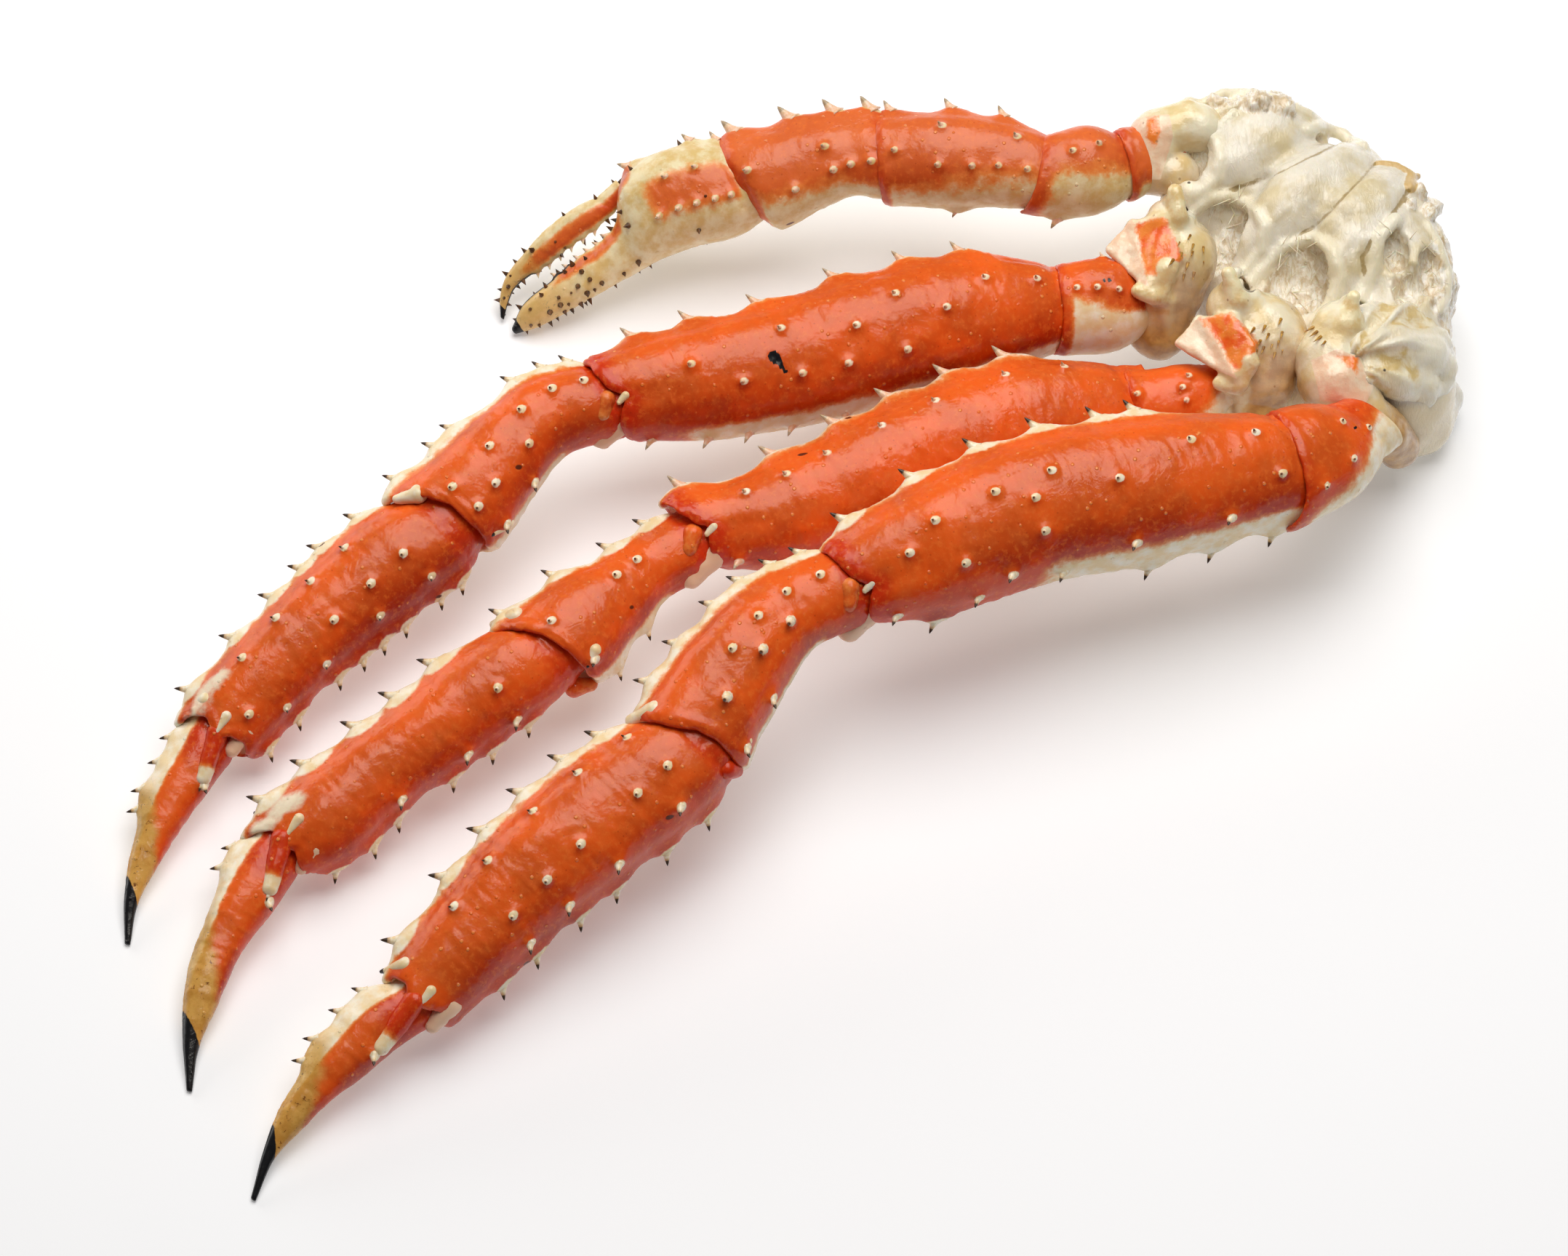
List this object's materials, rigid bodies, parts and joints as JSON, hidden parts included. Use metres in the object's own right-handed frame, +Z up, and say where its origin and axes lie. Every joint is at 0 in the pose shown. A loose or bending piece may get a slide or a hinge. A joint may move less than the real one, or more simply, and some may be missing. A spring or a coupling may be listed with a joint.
{
  "type": "king crab leg cluster",
  "caption": "Cooked king crab cluster: spiny walking legs and a claw arm, still joined to the meaty shoulder of the body.",
  "frame": {"origin": "middle of the box around the cluster, on the table that it lies on", "axes": "+Z up from the table, +X from the leg tips to the shoulder, +Y from the front leg to the claw arm"},
  "size_m": [0.412, 0.3803, 0.075],
  "materials": {
    "leg_shell": "wet orange-red cooked shell with pale spines, paler on its hidden side",
    "joint_shell": "wet cream and orange shell of the hips",
    "claw_tip_shell": "orange to ochre shell that ends in a glossy black tip",
    "claw_shell": "cream and orange shell with dark bristles and black biting edges",
    "shoulder_meat": "moist ivory membrane and white fibrous meat"
  },
  "bodies": {
    "root": {"front_leg_coxa": "joint_shell", "front_leg_ischium": "joint_shell", "front_leg_merus": "leg_shell", "front_leg_carpus": "leg_shell", "front_leg_propodus": "leg_shell", "front_leg_dactylus": "claw_tip_shell", "middle_leg_coxa": "joint_shell", "middle_leg_ischium": "joint_shell", "middle_leg_merus": "leg_shell", "middle_leg_carpus": "leg_shell", "middle_leg_propodus": "leg_shell", "middle_leg_dactylus": "claw_tip_shell", "rear_leg_coxa": "joint_shell", "rear_leg_ischium": "joint_shell", "rear_leg_merus": "leg_shell", "rear_leg_carpus": "leg_shell", "rear_leg_propodus": "leg_shell", "rear_leg_dactylus": "claw_tip_shell", "claw_arm_coxa": "joint_shell", "claw_arm_basis": "joint_shell", "claw_arm_ischium": "leg_shell", "claw_arm_merus": "leg_shell", "claw_arm_carpus": "leg_shell", "claw_arm_palm": "claw_shell", "claw_arm_finger": "claw_shell", "shoulder": "shoulder_meat"}
  },
  "joints": []
}
